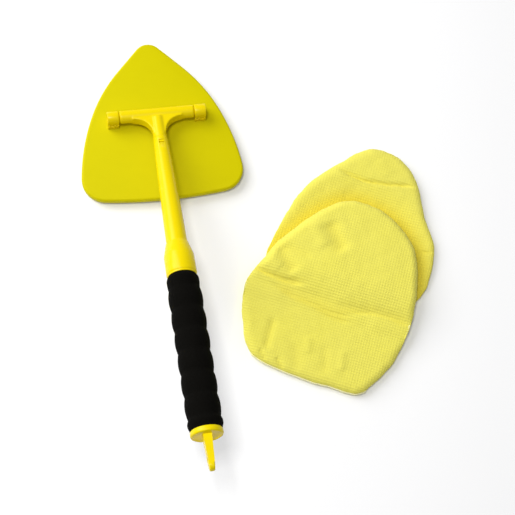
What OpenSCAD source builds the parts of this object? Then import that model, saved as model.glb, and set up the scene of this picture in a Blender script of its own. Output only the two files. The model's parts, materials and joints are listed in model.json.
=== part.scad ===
// Windshield cleaning wand with two washable bonnets.
// X runs along the pivot axis, +Y points at the tip of the head, +Z is up and away
// from the glass. The origin is on the sole, straight below the middle of the pivot.

/* [Head] */
// Distance from the pivot axis back to the rear edge of the head
head_rear = 79.5; // [76:0.5:84]
// Radius of the two rear corners of the head
head_corner_r = 22; // [18:1:26]
// Radius of the tip of the head
head_tip_r = 14; // [10:1:18]
// Height of the top face of the plate above the glass
plate_top = 10.5; // [10:0.5:12]
// Thickness of the plate's skin
plate_skin = 3.2; // [2.4:0.1:3.6]
// Thickness of the plate's rim wall
plate_rim = 3; // [2:0.25:4]
// Thickness of the foam sole
sole_t = 5; // [4.5:0.25:6]

/* [Pivot] */
// Height of the pivot axis above the glass
pivot_h = 20; // [19:0.5:22]
// Diameter of the crossbar
bar_d = 12; // [11:0.5:13]
// Length of the crossbar between the clips
bar_l = 69; // [66:1:72]
// Diameter of the trunnion at each end of the crossbar
trunnion_d = 8; // [7:0.5:9]
// Width of each pivot clip along the axis
clip_w = 10.7; // [9:0.1:12]
// Angle that the handle stands above the head
handle_tilt = 15; // [4:1:40]

/* [Pole] */
// Distance from the pivot axis to the front end of the pole
pole_start = 28.5; // [27:0.5:31]
// Outside diameter of the pole at its front end
pole_front_d = 13.4; // [13.2:0.1:14]
// Outside diameter of the pole where it enters the collar
pole_rear_d = 18.7; // [17.5:0.1:19.2]
// Thickness of the pole's wall
pole_wall = 1.5; // [1.2:0.1:2]

/* [Grip] */
// Distance from the pivot axis to the start of the flared collar
collar_start = 141; // [136:1:146]
// Diameter of the collar
collar_d = 26.6; // [25:0.2:28]
// Distance from the pivot axis to the front face of the foam
foam_start = 174; // [170:1:176]
// Number of full finger lobes
lobes = 6; // [4:1:7]
// Length of one finger lobe
lobe_l = 19.7; // [17:0.1:20]
// Diameter of the foam in the grooves between the lobes
groove_d = 26.8; // [26:0.2:28]
// Diameter of the foam at the crown of a lobe
lobe_d = 29.6; // [28.4:0.2:30]
// Thickness of the end cap's flange
cap_t = 5; // [3:0.5:6]
// Length of the hanging tab behind the end cap
tab_l = 29; // [26:0.5:34]
// Diameter of the hanging hole
hang_d = 5.6; // [4:0.2:6]

/* [Bonnets] */
// Thickness of a bonnet lying flat
bonnet_t = 10; // [9:0.5:12]
// Height of the gathered skirt under the face
skirt_t = 4.8; // [4.6:0.2:5.2]
// Width of the gathered skirt from its seam to the mouth
skirt_w = 26; // [20:1:30]
// Distance over which the upper bonnet comes down off the lower one
step_run = 15; // [12:1:20]

/* [Hidden] */
$fn = 64;
fit = 0.02;              // gap between pieces that are pushed or glued together
run_fit = 0.05;          // radial gap in a turning or sliding fit
arc_steps = 10;          // straight pieces in each arc of the head's outline
curve_steps = 4;         // straight pieces between two points of a bonnet's outline

// the head's outline: radius and final heading of each arc, from the rear middle round to the tip
side_arcs = [[480, 6.7], [head_corner_r, 96], [200, 113], [150, 134]];
tip_heading = 134;
foot_l = 0.8;            // how far a clip's foot reaches back from its block
block_l = 12.4;            // length of a clip's block along Y
foot_h = 4.6;
peg_d = 3;
peg_y = 1 - block_l / 2;   // the clip's locating peg
screw_d = 2.6;
screw_head_d = 5.2;
screw_head_h = 1.7;
clip_x = bar_l / 2 + 0.8 + clip_w / 2;
rib_t = 1.6;

spigot_d = 10.4;
spigot_l = 30;
gusset_r = 17;           // radius of the hollow between the crossbar and the neck
gusset_t = 9;
neck_start = 5;          // where the round neck rises out of the crossbar
slot_x = 5;              // the latch window: across the pole, along it, and where it starts
slot_l = 3.3;
slot_start = pole_start + 4.6;
button_l = 1.9;          // the latch's button fills the front of the window
latch_travel = 1.6;

pole_end = foam_start + 5;
core_d = 21.4;           // the tube under the foam
core_bore_d = pole_rear_d + 2 * fit;
first_l = 13;            // length of the foam before the first finger lobe, and after the last one
last_l = 10.3;
foam_end = foam_start + first_l + lobes * lobe_l + last_l;
cap_end = foam_end + cap_t;
tab_w = 12;
tab_root_t = 7.3;
tab_tip_t = 4.4;
hole_from_tip = 8.5;

elastic_w = 3;
hem_w = 1.3;
drop = [-0.4, -0.9165];  // the way in which the upper bonnet comes down off the lower one
lay_gap = 0.4;           // air between the two bonnets
lower_centre = [166, -130];
upper_centre = [141, -190];

// corners of each bonnet's outline, joined by a smooth closed curve
lower_points = [[207, -50], [227, -61], [240, -84], [242, -122], [246, -149], [239, -176],
    [222, -200], [186, -211], [140, -209], [96, -190], [84, -150], [96, -124], [124, -88],
    [146, -71], [174, -58], [190, -51]];
upper_points = [[172, -101], [203, -117], [222, -146], [224, -170], [215, -209], [193, -250],
    [169, -271], [150, -280], [125, -270], [98, -258], [60, -233], [55, -203], [62, -167],
    [86, -142], [100, -130], [141, -107]];

// ---- outlines ----

// the point reached by an arc of radius r that starts at p with heading a and ends with heading b
function arc_end(p, r, a, b) = p + r * [sin(b) - sin(a), cos(a) - cos(b)];

// where arc number i of the head's outline starts, on an outline drawn d further in
function side_start(i, d) = i == 0 ? [0, d - head_rear]
    : arc_end(side_start(i - 1, d), side_arcs[i - 1][0] - d,
        i == 1 ? 0 : side_arcs[i - 2][1], side_arcs[i - 1][1]);

function arc_points(p, r, a, b) = [for (k = [0 : arc_steps - 1]) arc_end(p, r, a, a + (b - a) * k / arc_steps)];

// one half of the head's outline, and the whole of it, drawn d further in
function head_half(d) = let (
        n = len(side_arcs),
        last = side_start(n, d),
        tip_x = (head_tip_r - d) * sin(tip_heading),
        tip_start = last + (last.x - tip_x) * [-1, -tan(tip_heading)])
    concat(
        [for (i = [0 : n - 1]) each arc_points(side_start(i, d), side_arcs[i][0] - d,
            i == 0 ? 0 : side_arcs[i - 1][1], side_arcs[i][1])],
        [last],
        arc_points(tip_start, head_tip_r - d, tip_heading, 180));
function head_outline(d = 0) = let (half = head_half(d), n = len(half))
    concat(half, [for (i = [n - 1 : -1 : 1]) [-half[i].x, half[i].y]]);

// a smooth closed curve through points, each first moved d away from the centre
function moved(p, centre, d) = p + d * (p - centre) / norm(p - centre);
function smooth(a, b, c, e, t) = 0.5 * ((2 * b) + (c - a) * t
    + (2 * a - 5 * b + 4 * c - e) * t * t + (3 * b - a - 3 * c + e) * t * t * t);
function closed_curve(points, centre, d) = let (n = len(points), q = [for (p = points) moved(p, centre, d)])
    [for (i = [0 : n - 1]) for (k = [0 : curve_steps - 1])
        smooth(q[(i + n - 1) % n], q[i], q[(i + 1) % n], q[(i + 2) % n], k / curve_steps)];

// ---- placing ----

module on_handle() {
    translate([0, 0, pivot_h]) rotate([90 - handle_tilt, 0, 0]) children();
}

// turns a profile of [radius, distance from the pivot] points about the handle's axis
module turned(profile) {
    on_handle() rotate_extrude() polygon(profile);
}

// ---- head ----

module slab(low, high, inset = 0) {
    translate([0, 0, low]) linear_extrude(high - low) polygon(head_outline(inset));
}

module head_plate() {
    low = 3;
    color([0.88, 0.84, 0.02]) difference() {
        hull() {
            slab(low, low + 0.1, 0.8);
            slab(low + 0.8, plate_top - 2.2);
            slab(plate_top - 0.8, plate_top - 0.7, 0.9);
            slab(plate_top - 0.1, plate_top, 2.6);
        }
        slab(0, sole_t, plate_rim);
        difference() {
            slab(sole_t - 1, plate_top - plate_skin, plate_rim);
            for (x = [-56, -24, 0, 24, 56]) translate([x - rib_t / 2, -100, 0]) cube([rib_t, 200, plate_top]);
            for (y = [-52, -24, 28]) translate([-100, y - rib_t / 2, 0]) cube([200, rib_t, plate_top]);
        }
        for (side = [-1, 1]) {
            translate([side * clip_x, 0, 0]) cylinder(d = screw_d + 0.6, h = plate_top + 1);
            translate([side * clip_x, peg_y, 0]) cylinder(d = peg_d + 2 * fit, h = plate_top + 1);
        }
    }
}

module sole_pad() {
    color([0.72, 0.72, 0.7]) slab(0, sole_t, plate_rim + fit);
}

module pivot_clip(side) {
    color([0.95, 0.87, 0.03]) translate([side * clip_x, 0, 0]) difference() {
        union() {
            translate([-clip_w / 2, -block_l / 2, plate_top]) cube([clip_w, block_l, pivot_h - plate_top]);
            translate([-clip_w / 2, 0, pivot_h]) rotate([0, 90, 0]) cylinder(d = block_l, h = clip_w);
            translate([-clip_w / 2, -block_l / 2 - foot_l, plate_top]) cube([clip_w, foot_l + 1, foot_h]);
            translate([0, peg_y, plate_top - 2.5]) cylinder(d = peg_d, h = 3);
        }
        translate([-clip_w, 0, pivot_h]) rotate([0, 90, 0]) cylinder(d = trunnion_d + 2 * run_fit, h = 2 * clip_w);
        translate([0, 0, plate_top - 1]) cylinder(d = screw_d + 2 * fit, h = 5.4);
    }
}

module clip_screws() {
    skin_low = plate_top - plate_skin;
    color([0.72, 0.73, 0.75]) for (side = [-1, 1]) translate([side * clip_x, 0, 0]) {
        translate([0, 0, skin_low - screw_head_h]) cylinder(d = screw_head_d, h = screw_head_h);
        translate([0, 0, skin_low - 0.5]) cylinder(d = screw_d, h = plate_skin + 4.2);
    }
}

// ---- handle ----

module gusset_outline() {
    neck_r = bar_d / 2;
    reach = neck_r + gusset_r;
    difference() {
        translate([-reach, 0]) square([2 * reach, bar_d / 2 + gusset_r]);
        for (side = [-1, 1]) translate([side * reach, reach]) circle(r = gusset_r);
    }
}

module crossbar_yoke() {
    groove_floor = 1.7;
    color([0.95, 0.87, 0.03]) on_handle() difference() {
        union() {
            translate([-bar_l / 2, 0, 0]) rotate([0, 90, 0]) cylinder(d = bar_d, h = bar_l);
            translate([-clip_x - clip_w / 2 + 0.5, 0, 0]) rotate([0, 90, 0])
                cylinder(d = trunnion_d, h = 2 * clip_x + clip_w - 1);
            translate([0, 0, neck_start]) cylinder(d = pole_front_d - 0.6, h = pole_start - neck_start);
            cylinder(d = spigot_d, h = pole_start + spigot_l);
            rotate([90, 0, 0]) translate([0, 0, -gusset_t / 2]) linear_extrude(gusset_t) gusset_outline();
        }
        translate([-2.7, groove_floor, pole_start + 0.4]) cube([5.4, bar_d, 22]);
    }
}

module pole_latch() {
    leaf_low = 3.5;
    leaf_t = 1;
    color([0.95, 0.87, 0.03]) on_handle() {
        translate([-2.3, leaf_low, pole_start + 1]) cube([4.6, leaf_t, 20]);
        translate([-slot_x / 2 + 0.25, leaf_low, slot_start + 0.15]) cube([slot_x - 0.5, 2.6, button_l]);
    }
}

module pole() {
    front_r = pole_front_d / 2;
    rear_r = pole_rear_d / 2;
    bore_r = spigot_d / 2 + fit;
    outside = [[front_r, pole_start], [front_r + 0.1, pole_start + 3], [front_r + 0.85, pole_start + 21],
        [front_r + 1.35, pole_start + 45], [rear_r - 0.35, pole_start + 84], [rear_r, collar_start], [rear_r, pole_end]];
    inside = [[rear_r - pole_wall, pole_end], [rear_r - pole_wall, collar_start],
        [front_r + 1.35 - pole_wall, pole_start + 46], [bore_r, pole_start + spigot_l + 1], [bore_r, pole_start]];
    color([0.95, 0.87, 0.03]) difference() {
        turned(concat(outside, inside));
        on_handle() translate([-slot_x / 2, 0, slot_start]) cube([slot_x, pole_front_d, slot_l]);
    }
}

module grip_core() {
    core_r = core_d / 2;
    bore_r = core_bore_d / 2;
    lip_r = collar_d / 2;
    color([0.95, 0.87, 0.03]) turned([
        [bore_r, collar_start], [bore_r + 0.7, collar_start], [lip_r - 0.3, collar_start + 11.6],
        [lip_r, collar_start + 13], [lip_r + 0.1, foam_start - 2.2], [lip_r - 0.4, foam_start - 1.6],
        [lip_r - 0.4, foam_start - fit], [lip_r - 2, foam_start - fit], [lip_r - 2, collar_start + 14],
        [core_r, collar_start + 13], [core_r, foam_end - fit], [bore_r, foam_end - fit]]);
}

module foam_grip() {
    groove_r = groove_d / 2;
    crown = (lobe_d - groove_d) / 2;
    bore_r = core_d / 2 + fit;
    lobes_start = foam_start + first_l;
    shoulder = 1.6;
    flare = 0.5;         // both ends are a little fuller than the grooves
    steps = 8;
    front = [for (k = [0 : steps]) let (u = k / steps)
        [groove_r + flare * (1 - u) - shoulder + shoulder * sin(90 * min(1, 3.2 * u)) + crown * 0.3 * sin(180 * u),
            foam_start + first_l * u]];
    middle = [for (i = [0 : lobes - 1]) for (k = [1 : steps]) let (u = k / steps)
        [groove_r + crown * sin(180 * u), lobes_start + lobe_l * (i + u)]];
    back = [for (k = [1 : steps]) let (u = k / steps)
        [groove_r + flare * u + crown * 0.8 * sin(180 * min(1, 1.2 * u)) - 0.6 * pow(u, 6), foam_end - last_l * (1 - u)]];
    color([0.07, 0.07, 0.065]) turned(concat([[bore_r, foam_start]], front, middle, back, [[bore_r, foam_end]]));
}

module tab_outline(root, tip, length) {
    hull() {
        translate([-root / 2, -1]) square([root, 1]);
        translate([0, length - tip / 2]) circle(d = tip);
    }
}

module end_cap() {
    flange_r = 13.7;
    plug_r = core_bore_d / 2 - fit;
    hole_at = cap_end + tab_l - hole_from_tip;
    color([0.95, 0.87, 0.03]) {
        turned([[0, foam_end + 1.5], [plug_r - 1.6, foam_end + 1.5], [plug_r - 1.6, foam_end - 14], [plug_r, foam_end - 14],
            [plug_r, foam_end + fit], [flange_r - 0.5, foam_end + fit], [flange_r, foam_end + 0.6],
            [flange_r, cap_end - 0.9], [flange_r - 0.9, cap_end], [flange_r - 2.4, cap_end],
            [flange_r - 3, cap_end - 0.5], [0, cap_end - 0.5]]);
        on_handle() difference() {
            intersection() {
                translate([-tab_root_t / 2, 0, cap_end - 0.6]) rotate([90, 0, 90]) linear_extrude(tab_root_t)
                    tab_outline(tab_w, tab_w - 2, tab_l + 0.6);
                translate([0, tab_w, cap_end - 0.6]) rotate([90, 0, 0]) linear_extrude(2 * tab_w)
                    polygon([[-tab_root_t / 2, 0], [tab_root_t / 2, 0], [tab_tip_t / 2, tab_l + 2], [-tab_tip_t / 2, tab_l + 2]]);
            }
            translate([-tab_root_t, 0, hole_at]) rotate([0, 90, 0]) cylinder(d = hang_d, h = 2 * tab_root_t);
        }
    }
}

// ---- bonnets ----

module lower_layer(low, high, outer, inner = undef) {
    translate([0, 0, low]) linear_extrude(high - low) difference() {
        polygon(closed_curve(lower_points, lower_centre, outer));
        if (inner != undef) polygon(closed_curve(lower_points, lower_centre, inner));
    }
}

// a layer of the upper bonnet: level on the lower bonnet, then down a slope to the table
module upper_layer(low, high, outer, inner = undef) {
    lift = bonnet_t + lay_gap;
    far = 400;
    // how far the lower bonnet reaches in the direction of the drop, with room for its hem
    edge = max([for (p = closed_curve(lower_points, lower_centre, hem_w)) p * drop]) + 2;
    intersection() {
        linear_extrude(3 * bonnet_t) difference() {
            polygon(closed_curve(upper_points, upper_centre, outer));
            if (inner != undef) polygon(closed_curve(upper_points, upper_centre, inner));
        }
        rotate([0, 0, atan2(drop.y, drop.x)]) translate([0, far, 0]) rotate([90, 0, 0]) linear_extrude(2 * far)
            polygon([[-far, lift + low], [edge, lift + low], [edge + step_run, low], [far, low],
                [far, high], [edge + step_run, high], [edge, lift + high], [-far, lift + high]]);
    }
}

module lower_bonnet_face() color([0.95, 0.92, 0.42]) lower_layer(skirt_t, bonnet_t, 0);
module lower_bonnet_skirt() color([0.93, 0.9, 0.4]) lower_layer(0, skirt_t, 0, -skirt_w);
module lower_bonnet_elastic() color([0.97, 0.96, 0.9]) lower_layer(1.2, 3.8, -skirt_w - fit, -skirt_w - elastic_w);
module lower_bonnet_hem() color([0.97, 0.96, 0.8]) lower_layer(skirt_t - 1, skirt_t + 0.8, hem_w, fit);

module upper_bonnet_face() color([0.95, 0.92, 0.42]) upper_layer(skirt_t, bonnet_t, 0);
module upper_bonnet_skirt() color([0.93, 0.9, 0.4]) upper_layer(0, skirt_t, 0, -skirt_w);
module upper_bonnet_elastic() color([0.97, 0.96, 0.9]) upper_layer(1.2, 3.8, -skirt_w - fit, -skirt_w - elastic_w);
module upper_bonnet_hem() color([0.97, 0.96, 0.8]) upper_layer(skirt_t - 1, skirt_t + 0.8, hem_w, fit);

head_plate();
pivot_clip(-1);  // pivot_clip_left
pivot_clip(1);  // pivot_clip_right
clip_screws();
sole_pad();
crossbar_yoke();
pole_latch();
pole();
grip_core();
foam_grip();
end_cap();
lower_bonnet_face();
lower_bonnet_skirt();
lower_bonnet_elastic();
lower_bonnet_hem();
upper_bonnet_face();
upper_bonnet_skirt();
upper_bonnet_elastic();
upper_bonnet_hem();
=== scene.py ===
import json
import math
import bmesh
import bpy
import numpy as np
from mathutils import Matrix, Vector, noise

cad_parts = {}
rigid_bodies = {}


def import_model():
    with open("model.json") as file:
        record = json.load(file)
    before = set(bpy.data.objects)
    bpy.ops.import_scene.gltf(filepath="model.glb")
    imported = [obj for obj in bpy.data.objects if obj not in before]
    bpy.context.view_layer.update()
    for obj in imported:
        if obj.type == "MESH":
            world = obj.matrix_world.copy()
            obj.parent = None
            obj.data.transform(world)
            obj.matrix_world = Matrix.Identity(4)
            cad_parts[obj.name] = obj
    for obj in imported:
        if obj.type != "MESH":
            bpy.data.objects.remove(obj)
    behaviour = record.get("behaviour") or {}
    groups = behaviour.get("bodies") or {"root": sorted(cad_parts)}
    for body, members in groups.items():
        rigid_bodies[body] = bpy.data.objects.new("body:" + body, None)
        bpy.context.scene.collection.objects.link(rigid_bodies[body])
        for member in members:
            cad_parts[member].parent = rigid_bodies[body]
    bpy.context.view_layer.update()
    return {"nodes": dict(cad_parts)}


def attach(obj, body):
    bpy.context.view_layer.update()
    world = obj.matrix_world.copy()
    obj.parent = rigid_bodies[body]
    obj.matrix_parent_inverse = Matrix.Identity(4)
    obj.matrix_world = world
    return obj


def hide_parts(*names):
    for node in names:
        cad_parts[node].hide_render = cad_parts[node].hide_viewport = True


for leftover in list(bpy.data.objects):
    bpy.data.objects.remove(leftover)
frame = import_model()
scene = bpy.context.scene
mm = 0.001
print("frame loaded:", len(frame["nodes"]), "nodes")


camera = {
    "place": (-0.0875, -0.3947, 1.0320),
    "turn": (0.25711, -0.12318, -0.14266),
    "lens": 80.77, "sensor": 36, "clip": (0.01, 20),
}
cameraData = bpy.data.cameras.new("camera")
cameraData.lens = camera["lens"]
cameraData.sensor_width = camera["sensor"]
cameraData.clip_start, cameraData.clip_end = camera["clip"]
cameraObject = bpy.data.objects.new("camera", cameraData)
cameraObject.location = camera["place"]
cameraObject.rotation_euler = camera["turn"]
scene.collection.objects.link(cameraObject)
scene.camera = cameraObject

lights = {
    # name: place, point it looks at, width, height, watts
    "keyFromLeft": ((-1.30, 0.98, 1.36), (0.06, -0.1, 0), 1.7, 1.7, 45),
    "aboveCamera": ((-0.30, -0.15, 1.70), (0.06, -0.14, 0), 0.32, 0.32, 11),
    "barStrip": ((-0.1, -0.62, 1.3), (0.02, -0.05, 0.02), 0.9, 0.10, 1.2),
}
for lightName, (place, target, width, height, watts) in lights.items():
    lamp = bpy.data.lights.new(lightName, "AREA")
    lamp.shape, lamp.size, lamp.size_y, lamp.energy = "RECTANGLE", width, height, watts
    lampObject = bpy.data.objects.new(lightName, lamp)
    lampObject.location = place
    aim = Vector(target) - Vector(place)
    lampObject.rotation_euler = aim.to_track_quat("-Z", "Y").to_euler()
    scene.collection.objects.link(lampObject)

flagged = bpy.data.collections.new("flaggedFromKey")  # pieces whose long shadow is kept off the table
bpy.data.objects["keyFromLeft"].light_linking.blocker_collection = flagged

room = {"colour": (1.0, 1.0, 1.0), "strength": 0.23}
scene.world = bpy.data.worlds.new("room")
scene.world.use_nodes = True
sky = scene.world.node_tree.nodes["Background"]
sky.inputs["Color"].default_value = (*room["colour"], 1)
sky.inputs["Strength"].default_value = room["strength"]
scene.view_settings.view_transform = "Standard"
scene.view_settings.look = "None"
print("camera and lights ready")


class Wire:
    # an output socket that can be used in sums; each operator adds one Math node
    def __init__(self, finish, socket):
        self.finish, self.socket = finish, socket

    def maths(self, operation, *values):
        return self.finish.node("Math", {"operation": operation}, dict(enumerate(values)))

    def __add__(self, other):
        return self.maths("ADD", self, other)

    def __sub__(self, other):
        return self.maths("SUBTRACT", self, other)

    def __rsub__(self, other):
        return self.maths("SUBTRACT", other, self)

    def __mul__(self, other):
        return self.maths("MULTIPLY", self, other)

    def __pow__(self, other):
        return self.maths("POWER", self, other)

    __radd__, __rmul__ = __add__, __mul__


class Finish:
    # one material; node() adds any node and gives back its output
    def __init__(self, name, **uniform):
        self.material = bpy.data.materials.new(name)
        self.material.use_nodes = True
        self.tree = self.material.node_tree
        self.shader = self.tree.nodes["Principled BSDF"]
        for socket, value in uniform.items():
            self.shader.inputs[socket.replace("_", " ")].default_value = value

    def node(self, kind, settings=None, sockets=None, output=0):
        made = self.tree.nodes.new("ShaderNode" + kind)
        for key, value in (settings or {}).items():
            if key == "stops":
                for element, (place, grey) in zip(made.color_ramp.elements, value):
                    element.position, element.color = place, (grey, grey, grey, 1)
            else:
                setattr(made, key, value)
        for key, value in (sockets or {}).items():
            self.feed(made.inputs[key], value)
        return Wire(self, made.outputs[output])

    def feed(self, socket, value):
        if isinstance(value, Wire):
            self.tree.links.new(value.socket, socket)
        elif socket.type == "RGBA":
            socket.default_value = (*value, 1)
        else:
            socket.default_value = value

    def place(self, stretch=(1, 1, 1), turn=(0, 0, 0)):
        where = self.node("TexCoord", output="Object")
        return self.node("Mapping", {}, {"Vector": where, "Scale": stretch, "Rotation": turn})

    def weaveMap(self):
        # the cloth's own map, whole and as its two counts
        whole = self.node("UVMap", {"uv_map": "weave"})
        split = self.node("SeparateXYZ", {}, {0: whole}).socket.node
        return (whole, *(Wire(self, split.outputs[k]) for k in (0, 1)))

    def clouds(self, where, scale, detail=3.0, roughness=0.55):
        return self.node("TexNoise", {}, {"Vector": where, "Scale": scale, "Detail": detail,
                                          "Roughness": roughness})

    def ramp(self, value, low, high):
        return self.node("ValToRGB", {"stops": [(low, 0), (high, 1)]}, {0: value})

    def mix(self, factor, a, b):
        # sockets 6, 7 and output 2 are the colour ones
        return self.node("Mix", {"data_type": "RGBA"}, {0: factor, 6: a, 7: b}, output=2)

    def show(self, colour, roughness, height, distance, strength=1.0):
        self.feed(self.shader.inputs["Base Color"], colour)
        self.feed(self.shader.inputs["Roughness"], roughness)
        bump = self.node("Bump", {}, {"Strength": strength, "Distance": distance, "Height": height})
        self.feed(self.shader.inputs["Normal"], bump)
        return self.material


moulding = {
    "flowScale": 60, "flowRange": (0.3, 0.75), "flowRough": 0.08, "flowHeight": 0.6,
    "rubScale": 140, "rubStretch": (1, 6, 1), "rubTurn": (0, 0, 0.5), "rubRange": (0.60, 0.72),
    "rubColour": 0.12, "rubRough": 0.10,
}


def mouldedPlastic(name, look):
    # injection moulded plastic: faint flow clouds, spark-eroded grain, a few dull rub marks
    finish = Finish(name, Specular_IOR_Level=look["specular"])
    flow = finish.clouds(finish.place(look["flow"]), moulding["flowScale"], 4)
    grain = finish.clouds(finish.place(), look["grainScale"], 2, 0.6)
    rubbed = finish.place(moulding["rubStretch"], moulding["rubTurn"])
    rubs = finish.ramp(finish.clouds(rubbed, moulding["rubScale"], 5, 0.7), *moulding["rubRange"])
    colour = finish.mix(finish.ramp(flow, *moulding["flowRange"]), look["colour"], look["deep"])
    colour = finish.mix(rubs * moulding["rubColour"], colour, look["rubbed"])
    roughness = look["roughness"] + flow * moulding["flowRough"] + rubs * moulding["rubRough"]
    return finish.show(colour, roughness, grain + flow * moulding["flowHeight"], look["grainDepth"])


plateLook = {
    "colour": (0.620, 0.552, 0.0), "deep": (0.608, 0.540, 0.0), "rubbed": (0.65, 0.59, 0.01),
    "specular": 0.05, "roughness": 0.45, "grainScale": 1700, "grainDepth": 0.00006,
    "flow": (1, 1.6, 1),
}
wandLook = {
    "colour": (0.81, 0.635, 0.0), "deep": (0.79, 0.615, 0.0), "rubbed": (0.84, 0.70, 0.02),
    "specular": 0.17, "roughness": 0.22, "grainScale": 900, "grainDepth": 0.00002,
    "flow": (2, 0.6, 0.6),
}
plateYellow = mouldedPlastic("plateYellow", plateLook)
wandYellow = mouldedPlastic("wandYellow", wandLook)


cellFoam = {
    "poresPerCell": 2.7, "mottleScale": 90, "wornRange": (0.45, 0.8), "wornColour": 0.35, "wornRough": 0.12,
    "wallRange": (0.0, 0.55), "cellHeight": 0.7, "poreHeight": 0.4, "mottleHeight": 0.5, "roughness": 0.82,
}


def closedCellFoam(name, look):
    # skinless foam: small round cells of two sizes with soft walls
    finish = Finish(name, Specular_IOR_Level=look["specular"])
    where = finish.place()
    cells, pores = (finish.node("TexVoronoi", {}, {"Vector": where, "Scale": look["cellScale"] * times})
                    for times in (1, cellFoam["poresPerCell"]))
    mottle = finish.clouds(where, cellFoam["mottleScale"], 4)
    worn = finish.ramp(mottle, *cellFoam["wornRange"])
    height = (cells * cellFoam["cellHeight"] + pores * cellFoam["poreHeight"]
              + mottle * cellFoam["mottleHeight"])
    # painted shade: the cell hollows are darker than the walls
    colour = finish.mix(finish.ramp(cells, *cellFoam["wallRange"]), look["hollow"], look["colour"])
    colour = finish.mix(worn * cellFoam["wornColour"], colour, look["dusty"])
    roughness = cellFoam["roughness"] + worn * cellFoam["wornRough"]
    return finish.show(colour, roughness, height, look["cellDepth"])


# each foam's hollow colour is painted shade in its cells
gripFoam = closedCellFoam("gripFoam", {
    "colour": (0.0036, 0.0033, 0.0026), "hollow": (0.0015, 0.0014, 0.001), "dusty": (0.006, 0.0056, 0.0048),
    "specular": 0.03, "cellScale": 1500, "cellDepth": 0.0003,
})
soleFoam = closedCellFoam("soleFoam", {
    "colour": (0.52, 0.52, 0.50), "hollow": (0.34, 0.34, 0.33), "dusty": (0.60, 0.60, 0.57),
    "specular": 0.2, "cellScale": 800, "cellDepth": 0.0004,
})


def waffleCloth(name, look):
    # knitted microfibre waffle: the weave map counts cells, so whole numbers are the raised lines
    finish = Finish(name, Specular_IOR_Level=0.1, Sheen_Weight=look["sheen"], Sheen_Roughness=0.5)
    weave, *counts = finish.weaveMap()
    columns, rows = (one.maths("ABSOLUTE", one.maths("SINE", one * math.pi)) for one in counts)
    hollow = (columns * 0.5 + 0.5) * rows ** look["rowShape"]
    loops = finish.node("TexNoise", {}, {"Vector": weave, "Scale": look["loopScale"], "Detail": 2.0})
    where = finish.place()
    fibre = finish.clouds(where, look["fibreScale"], 3, 0.7)
    patch = finish.clouds(where, look["patchScale"], 3)
    # painted shade: the cell hollows are darkened in the colour
    colour = finish.mix(hollow * look["hollowShadeMix"], look["colour"], look["hollow"])
    colour = finish.mix(finish.ramp(patch, 0.3, 0.8) * look["patchMix"], colour, look["patch"])
    colour = finish.mix(finish.ramp(fibre, 0.5, 0.8) * look["tipsMix"], colour, look["tips"])
    # painted shade, in folds and beside the upper bonnet, stored on the mesh
    sunk = finish.node("Attribute", {"attribute_name": "sunk"}, output="Fac")
    colour = finish.mix(sunk, colour, look["sunk"])
    height = (1 - hollow) * look["waffleHeight"] + loops * look["loopHeight"] + fibre * look["fibreHeight"]
    return finish.show(colour, look["roughness"] + fibre * 0.1, height, look["bump"])


bonnetLook = {
    # the hollow colour on the next line is painted shade in the waffle's cell hollows
    "colour": (0.86, 0.80, 0.128), "hollow": (0.77, 0.67, 0.055), "patch": (0.83, 0.765, 0.135),
    # painted shade: the last colour on the next line is the dark orange that folds and the gap beside the
    # upper bonnet get
    "tips": (0.93, 0.89, 0.24), "sunk": (0.80, 0.62, 0.022),
    "hollowShadeMix": 0.36, "patchMix": 0.5, "tipsMix": 0.25, "rowShape": 0.8,
    "loopScale": 7.0, "fibreScale": 2600, "patchScale": 34, "roughness": 0.86, "sheen": 0.10,
    "waffleHeight": 0.9, "loopHeight": 0.5, "fibreHeight": 0.45, "bump": 0.0003,
}
waffleYellow = waffleCloth("waffleYellow", bonnetLook)


def stitchedTape(name, look):
    # a folded tape with a thread crossing it slantwise at an even pitch
    finish = Finish(name, Specular_IOR_Level=0.15, Sheen_Weight=0.2)
    _, along, across = finish.weaveMap()
    turns = along + across * look["slant"]
    wave = turns.maths("SINE", turns * (2 * math.pi))
    thread = finish.ramp(wave * 0.5 + 0.5, *look["threadRange"])
    fibre = finish.clouds(finish.place(), look["fibreScale"], 3, 0.7)
    colour = finish.mix(thread, look["tape"], look["thread"])
    return finish.show(colour, look["roughness"] + fibre * 0.15, thread + fibre * 0.5, look["bump"])


tapeLook = {"threadRange": (0.35, 0.65), "fibreScale": 3000, "roughness": 0.75}
hemTape = stitchedTape("hemTape", {
    **tapeLook, "tape": (0.95, 0.90, 0.42), "thread": (0.97, 0.94, 0.66), "slant": 0.6, "bump": 0.0001,
})
elasticBand = stitchedTape("elasticBand", {
    **tapeLook, "tape": (0.90, 0.84, 0.50), "thread": (0.96, 0.93, 0.80), "slant": 0.0, "bump": 0.00035,
})

steelLook = {
    "dark": (0.50, 0.51, 0.53), "bright": (0.66, 0.67, 0.69), "streak": (1, 40, 1), "streakScale": 500,
    "dullScale": 900, "roughness": 0.22, "bump": 0.00002,
}


def brushedSteel(look):
    finish = Finish("screwSteel", Metallic=1.0)
    streak = finish.clouds(finish.place(look["streak"]), look["streakScale"], 3)
    dull = finish.clouds(finish.place(), look["dullScale"], 2)
    colour = finish.mix(streak, look["dark"], look["bright"])
    return finish.show(colour, look["roughness"] + dull * 0.2, streak, look["bump"])


screwSteel = brushedSteel(steelLook)

tableLook = {
    "low": (0.97, 0.97, 0.975), "high": (0.98, 0.98, 0.985), "grainScale": 400, "roughness": 0.8,
    "bump": 0.00002,
}


def paintedTable(look):
    finish = Finish("paleTable", Specular_IOR_Level=0.0)
    fine = finish.clouds(finish.place(), look["grainScale"], 4)
    colour = finish.mix(fine, look["low"], look["high"])
    return finish.show(colour, look["roughness"] + fine * 0.1, fine, look["bump"])


paleTable = paintedTable(tableLook)
print("finishes ready")

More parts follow.
